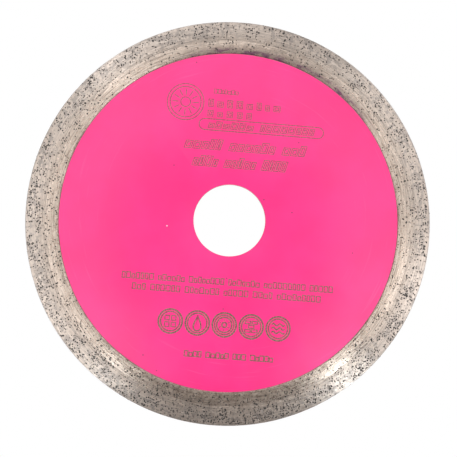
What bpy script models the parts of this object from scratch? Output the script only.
"""Continuous-rim diamond blade, 125 mm, for an angle grinder.

Frame, in metres: the origin is the centre of the bore on the blade's middle plane, the blade turns about Y,
its marked face looks along -Y, and +Z is up when that face is read.

The blade is built from the inside out, as it is made. A toothed steel core carries a sintered rim of two
layers: a base ring without grit, which grips the core's teeth from both sides, and the diamond layer that cuts.
A coat of lacquer covers each face of the core.
"""

import math

import bmesh
import bpy
from mathutils import Matrix

# Overall sizes.
OUTER_DIAMETER = 0.125
BORE_DIAMETER = 0.02223

# The core, and how far the rim stands proud of each of its faces.
CORE_THICKNESS = 0.0014
SIDE_CLEARANCE = 0.0003
BORE_CHAMFER = 0.00015

# The rim, from the paint outwards: cheeks lapping the core, teeth, a web over the teeth, then diamond.
CHEEK_LAP = 0.0009
TOOTH_HEIGHT = 0.0022
WEB_HEIGHT = 0.0009
DIAMOND_HEIGHT = 0.0060
CUTTING_EDGE_RADIUS = 0.00025
RIM_HEEL_CHAMFER = 0.00012

# The teeth on the core's edge, wider at the tip than at the root, so that the rim can't pull off.
TOOTH_PITCH = 0.0080
TOOTH_ROOT_WIDTH = 0.0038
TOOTH_FLARE = 0.0004

# The lacquer, and the bare steel left at its edges.
COAT_THICKNESS = 0.00005
COAT_MARGIN = 0.00022

# Faces that are sintered or painted together keep this gap. It is small, because the rim's cheeks are thin.
BOND_GAP = 0.00002

# How finely round shapes are cut.
STEPS_PER_PITCH = 4
BORE_STEPS = 120
EDGE_STEPS = 3

# Worked out from the sizes above.
HALF_CORE = CORE_THICKNESS / 2
HALF_RIM = HALF_CORE + SIDE_CLEARANCE
OUTER_RADIUS = OUTER_DIAMETER / 2
BORE_RADIUS = BORE_DIAMETER / 2
BASE_OUTER_RADIUS = OUTER_RADIUS - DIAMOND_HEIGHT
TOOTH_TIP_RADIUS = BASE_OUTER_RADIUS - WEB_HEIGHT
TOOTH_ROOT_RADIUS = TOOTH_TIP_RADIUS - TOOTH_HEIGHT
RIM_INNER_RADIUS = TOOTH_ROOT_RADIUS - CHEEK_LAP
TOOTH_COUNT = round(2 * math.pi * TOOTH_ROOT_RADIUS / TOOTH_PITCH)
RING_STEPS = STEPS_PER_PITCH * TOOTH_COUNT

SMOOTH_ANGLE = math.radians(20)


def material(name, colour, roughness, metallic):
    """A plain Principled material."""
    made = bpy.data.materials.new(name)
    made.use_nodes = True
    shader = made.node_tree.nodes["Principled BSDF"]
    shader.inputs["Base Color"].default_value = (*colour, 1.0)
    shader.inputs["Roughness"].default_value = roughness
    shader.inputs["Metallic"].default_value = metallic
    return made


def finish(name, shape, finish_material, axis):
    """Turns a bmesh into a named object on the blade's axis, shaded smooth where it is round."""
    mesh = bpy.data.meshes.new(name)
    bmesh.ops.recalc_face_normals(shape, faces=shape.faces)
    shape.to_mesh(mesh)
    shape.free()
    mesh.shade_smooth()
    mesh.set_sharp_from_angle(angle=SMOOTH_ANGLE)
    mesh.materials.append(finish_material)
    made = bpy.data.objects.new(name, mesh)
    bpy.context.scene.collection.objects.link(made)
    made.parent = axis
    return made


def turned(profile):
    """Spins a closed (radius, height along Y) profile once round the Y axis."""
    shape = bmesh.new()
    corners = [shape.verts.new((radius, along, 0.0)) for radius, along in profile]
    edges = [shape.edges.new((corners[i - 1], corners[i])) for i in range(len(corners))]
    bmesh.ops.spin(
        shape,
        geom=corners + edges,
        cent=(0, 0, 0),
        axis=(0, 1, 0),
        angle=2 * math.pi,
        steps=RING_STEPS,
        use_merge=True,
    )
    return shape


def arc(radius, start, end, steps):
    """Points on a circle about Y, from one angle to another, leaving the last one out."""
    angles = [start + (end - start) * step / steps for step in range(steps)]
    return [(radius * math.cos(angle), 0.0, radius * math.sin(angle)) for angle in angles]


def toothed_outline(grow):
    """The core's outer edge: dovetail teeth between a root circle and a tip circle, grown all round."""
    pitch = 2 * math.pi / TOOTH_COUNT
    root_radius = TOOTH_ROOT_RADIUS + grow
    tip_radius = TOOTH_TIP_RADIUS + grow
    root_half = (TOOTH_ROOT_WIDTH / 2 + grow) / root_radius
    tip_half = (TOOTH_ROOT_WIDTH / 2 + TOOTH_FLARE + grow) / tip_radius
    steps = STEPS_PER_PITCH // 2
    points = []
    for tooth in range(TOOTH_COUNT):
        middle = tooth * pitch
        points += [(root_radius * math.cos(middle - root_half), 0.0, root_radius * math.sin(middle - root_half))]
        points += arc(tip_radius, middle - tip_half, middle + tip_half, steps)
        points += [(tip_radius * math.cos(middle + tip_half), 0.0, tip_radius * math.sin(middle + tip_half))]
        points += arc(root_radius, middle + root_half, middle + pitch - root_half, steps)
    return points


def toothed_plate(half_thickness, bore_radius, grow=0.0):
    """A flat ring with teeth round its outside and a plain bore, as thick as asked."""
    shape = bmesh.new()
    for outline in (toothed_outline(grow), arc(bore_radius, 0.0, 2 * math.pi, BORE_STEPS)):
        corners = [shape.verts.new(point) for point in outline]
        for i in range(len(corners)):
            shape.edges.new((corners[i - 1], corners[i]))
    bmesh.ops.triangle_fill(shape, edges=shape.edges[:], use_beauty=True)
    bmesh.ops.translate(shape, verts=shape.verts[:], vec=(0, -half_thickness, 0))
    extruded = bmesh.ops.extrude_face_region(shape, geom=shape.faces[:], use_keep_orig=True)
    moved = [item for item in extruded["geom"] if isinstance(item, bmesh.types.BMVert)]
    bmesh.ops.translate(shape, verts=moved, vec=(0, 2 * half_thickness, 0))
    return shape


def rim_section(inner, outer, outer_radius, heel):
    """Half-closed section of a rim layer: a chamfered heel inside, and rounded edges outside if asked."""
    section = [(inner, -HALF_RIM + heel), (inner, HALF_RIM - heel)]
    if heel:
        section += [(inner + heel, HALF_RIM)]
    for corner in range(EDGE_STEPS + 1):
        turn = math.pi / 2 * (1 - corner / EDGE_STEPS)
        out = outer - outer_radius * (1 - math.cos(turn))
        up = HALF_RIM - outer_radius * (1 - math.sin(turn))
        section += [(out, up)]
        if not outer_radius:
            break
    mirrored = [(out, -up) for out, up in reversed(section[2:])]
    return section + mirrored


def steel_core(axis, steel):
    """The blank: a steel plate with a plain bore and dovetail teeth, cut from sheet."""
    shape = toothed_plate(HALF_CORE, BORE_RADIUS)
    rims = [
        edge
        for edge in shape.edges
        if all(math.hypot(v.co.x, v.co.z) < BORE_RADIUS * 1.001 for v in edge.verts)
        and abs(edge.verts[0].co.y - edge.verts[1].co.y) < BORE_CHAMFER
    ]
    bmesh.ops.bevel(shape, geom=rims, offset=BORE_CHAMFER, segments=1, affect="EDGES", clamp_overlap=True)
    return finish("steel_core", shape, steel, axis)


def base_ring(axis, bond):
    """The rim's inner layer. The core's teeth are cut out of it, so it fills the spaces between them."""
    section = rim_section(RIM_INNER_RADIUS, BASE_OUTER_RADIUS, 0.0, RIM_HEEL_CHAMFER)
    ring = finish("base_ring", turned(section), bond, axis)

    socket_shape = toothed_plate(HALF_CORE + BOND_GAP, BORE_RADIUS, grow=BOND_GAP)
    socket = finish("core_socket_cutter", socket_shape, bond, axis)
    socket.hide_render = True
    socket.display_type = "WIRE"

    cut = ring.modifiers.new("core_socket", "BOOLEAN")
    cut.operation = "DIFFERENCE"
    cut.solver = "EXACT"
    cut.object = socket
    return ring


def diamond_rim(axis, bond):
    """The rim's outer layer, which holds the grit: a plain ring with its cutting edges dressed round."""
    inner = BASE_OUTER_RADIUS + BOND_GAP
    section = rim_section(inner, OUTER_RADIUS, CUTTING_EDGE_RADIUS, 0.0)
    return finish("diamond_rim", turned(section), bond, axis)


def coat(name, side, axis, lacquer):
    """A film of lacquer on one face of the core, between the bore and the rim."""
    inner = BORE_RADIUS + BORE_CHAMFER + COAT_MARGIN
    outer = RIM_INNER_RADIUS - COAT_MARGIN
    low = side * (HALF_CORE + BOND_GAP)
    high = low + side * COAT_THICKNESS
    return finish(name, turned([(inner, low), (inner, high), (outer, high), (outer, low)]), lacquer, axis)


def main():
    for item in list(bpy.data.objects):
        bpy.data.objects.remove(item)

    axis = bpy.data.objects.new("blade_axis", None)
    axis.rotation_mode = "XYZ"
    axis.matrix_world = Matrix.Identity(4)
    bpy.context.scene.collection.objects.link(axis)

    steel = material("core_steel", (0.56, 0.55, 0.53), 0.38, 1.0)
    bond = material("base_bond", (0.50, 0.46, 0.41), 0.42, 1.0)
    grit_bond = material("diamond_bond", (0.46, 0.43, 0.40), 0.50, 1.0)
    lacquer = material("pink_lacquer", (1.0, 0.06, 0.26), 0.32, 0.0)

    steel_core(axis, steel)
    base_ring(axis, bond)
    diamond_rim(axis, grit_bond)
    coat("front_coat", -1, axis, lacquer)
    coat("rear_coat", 1, axis, lacquer)


main()
